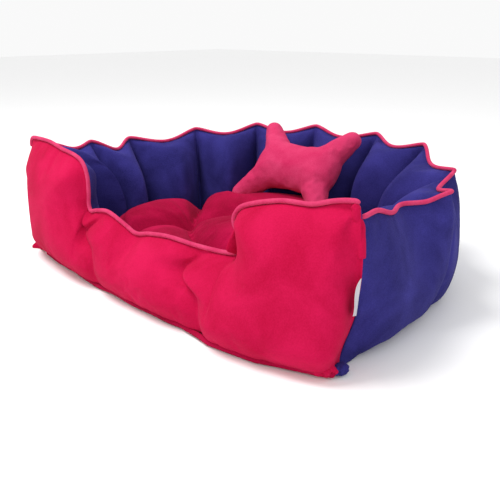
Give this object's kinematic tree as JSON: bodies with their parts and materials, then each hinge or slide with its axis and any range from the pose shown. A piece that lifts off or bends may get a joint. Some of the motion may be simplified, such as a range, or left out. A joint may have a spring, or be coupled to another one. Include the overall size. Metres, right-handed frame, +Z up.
{
  "type": "pet bed",
  "caption": "D-shaped bolster pet bed with puffed velvet wall chambers, a low front entry, piped rim, a lift-out quilted seat cushion and a loose bone-shaped pillow.",
  "frame": {"origin": "on the underside of the base, on the centre line between the sides", "axes": "+X right of the entry, -Y out through the entry, +Z up"},
  "size_m": [0.8616, 0.6999, 0.251],
  "materials": {
    "velvet_pink": "short-pile velvet",
    "velvet_blue": "short-pile velvet",
    "piping_pink": "short-pile velvet bias strip",
    "base_cloth": "plain woven",
    "stuffing": "polyester fibre",
    "cord_white": "soft braided filler cord",
    "thread_pink": "twisted thread",
    "label_white": "satin ribbon, blank"
  },
  "bodies": {
    "bed": {"base_underside": "base_cloth", "base_batting": "stuffing", "base_lining": "velvet_blue", "wall_fill_front_right": "stuffing", "wall_fill_front_centre": "stuffing", "wall_fill_front_left": "stuffing", "wall_fill_01": "stuffing", "wall_fill_02": "stuffing", "wall_fill_03": "stuffing", "wall_fill_04": "stuffing", "wall_fill_05": "stuffing", "wall_fill_06": "stuffing", "wall_fill_07": "stuffing", "wall_fill_08": "stuffing", "wall_fill_09": "stuffing", "wall_fill_10": "stuffing", "front_cover": "velvet_pink", "side_cover": "velvet_blue", "front_lining": "velvet_blue", "side_lining": "velvet_blue", "front_piping_cover": "piping_pink", "front_piping_cord": "cord_white", "side_piping_cover": "piping_pink", "side_piping_cord": "cord_white"},
    "cushion": {"cushion_top_panel": "velvet_pink", "cushion_bottom_panel": "velvet_pink", "cushion_fill_left": "stuffing", "cushion_fill_right": "stuffing", "cushion_fill_back": "stuffing", "cushion_fill_front": "stuffing", "cushion_fill_centre": "stuffing", "tuft_thread_left": "thread_pink", "tuft_thread_right": "thread_pink"},
    "bone": {"bone_front_panel": "velvet_pink", "bone_back_panel": "velvet_pink", "bone_fill": "stuffing"},
    "label": {"side_label": "label_white"}
  },
  "joints": [
    {"name": "cushion_lift", "type": "slide", "parent": "bed", "child": "cushion", "axis": [0, 0, 1], "range_m": [0, 0.35]},
    {"name": "bone_lift", "type": "slide", "parent": "cushion", "child": "bone", "axis": [0, 0, 1], "range_m": [0, 0.35]},
    {"name": "label_flap", "type": "hinge", "parent": "bed", "child": "label", "pos_m": [0.41038, -0.26493, 0.08391], "axis": [0.2686, -0.2686, 0.9251], "range_deg": [-8, 60]}
  ]
}
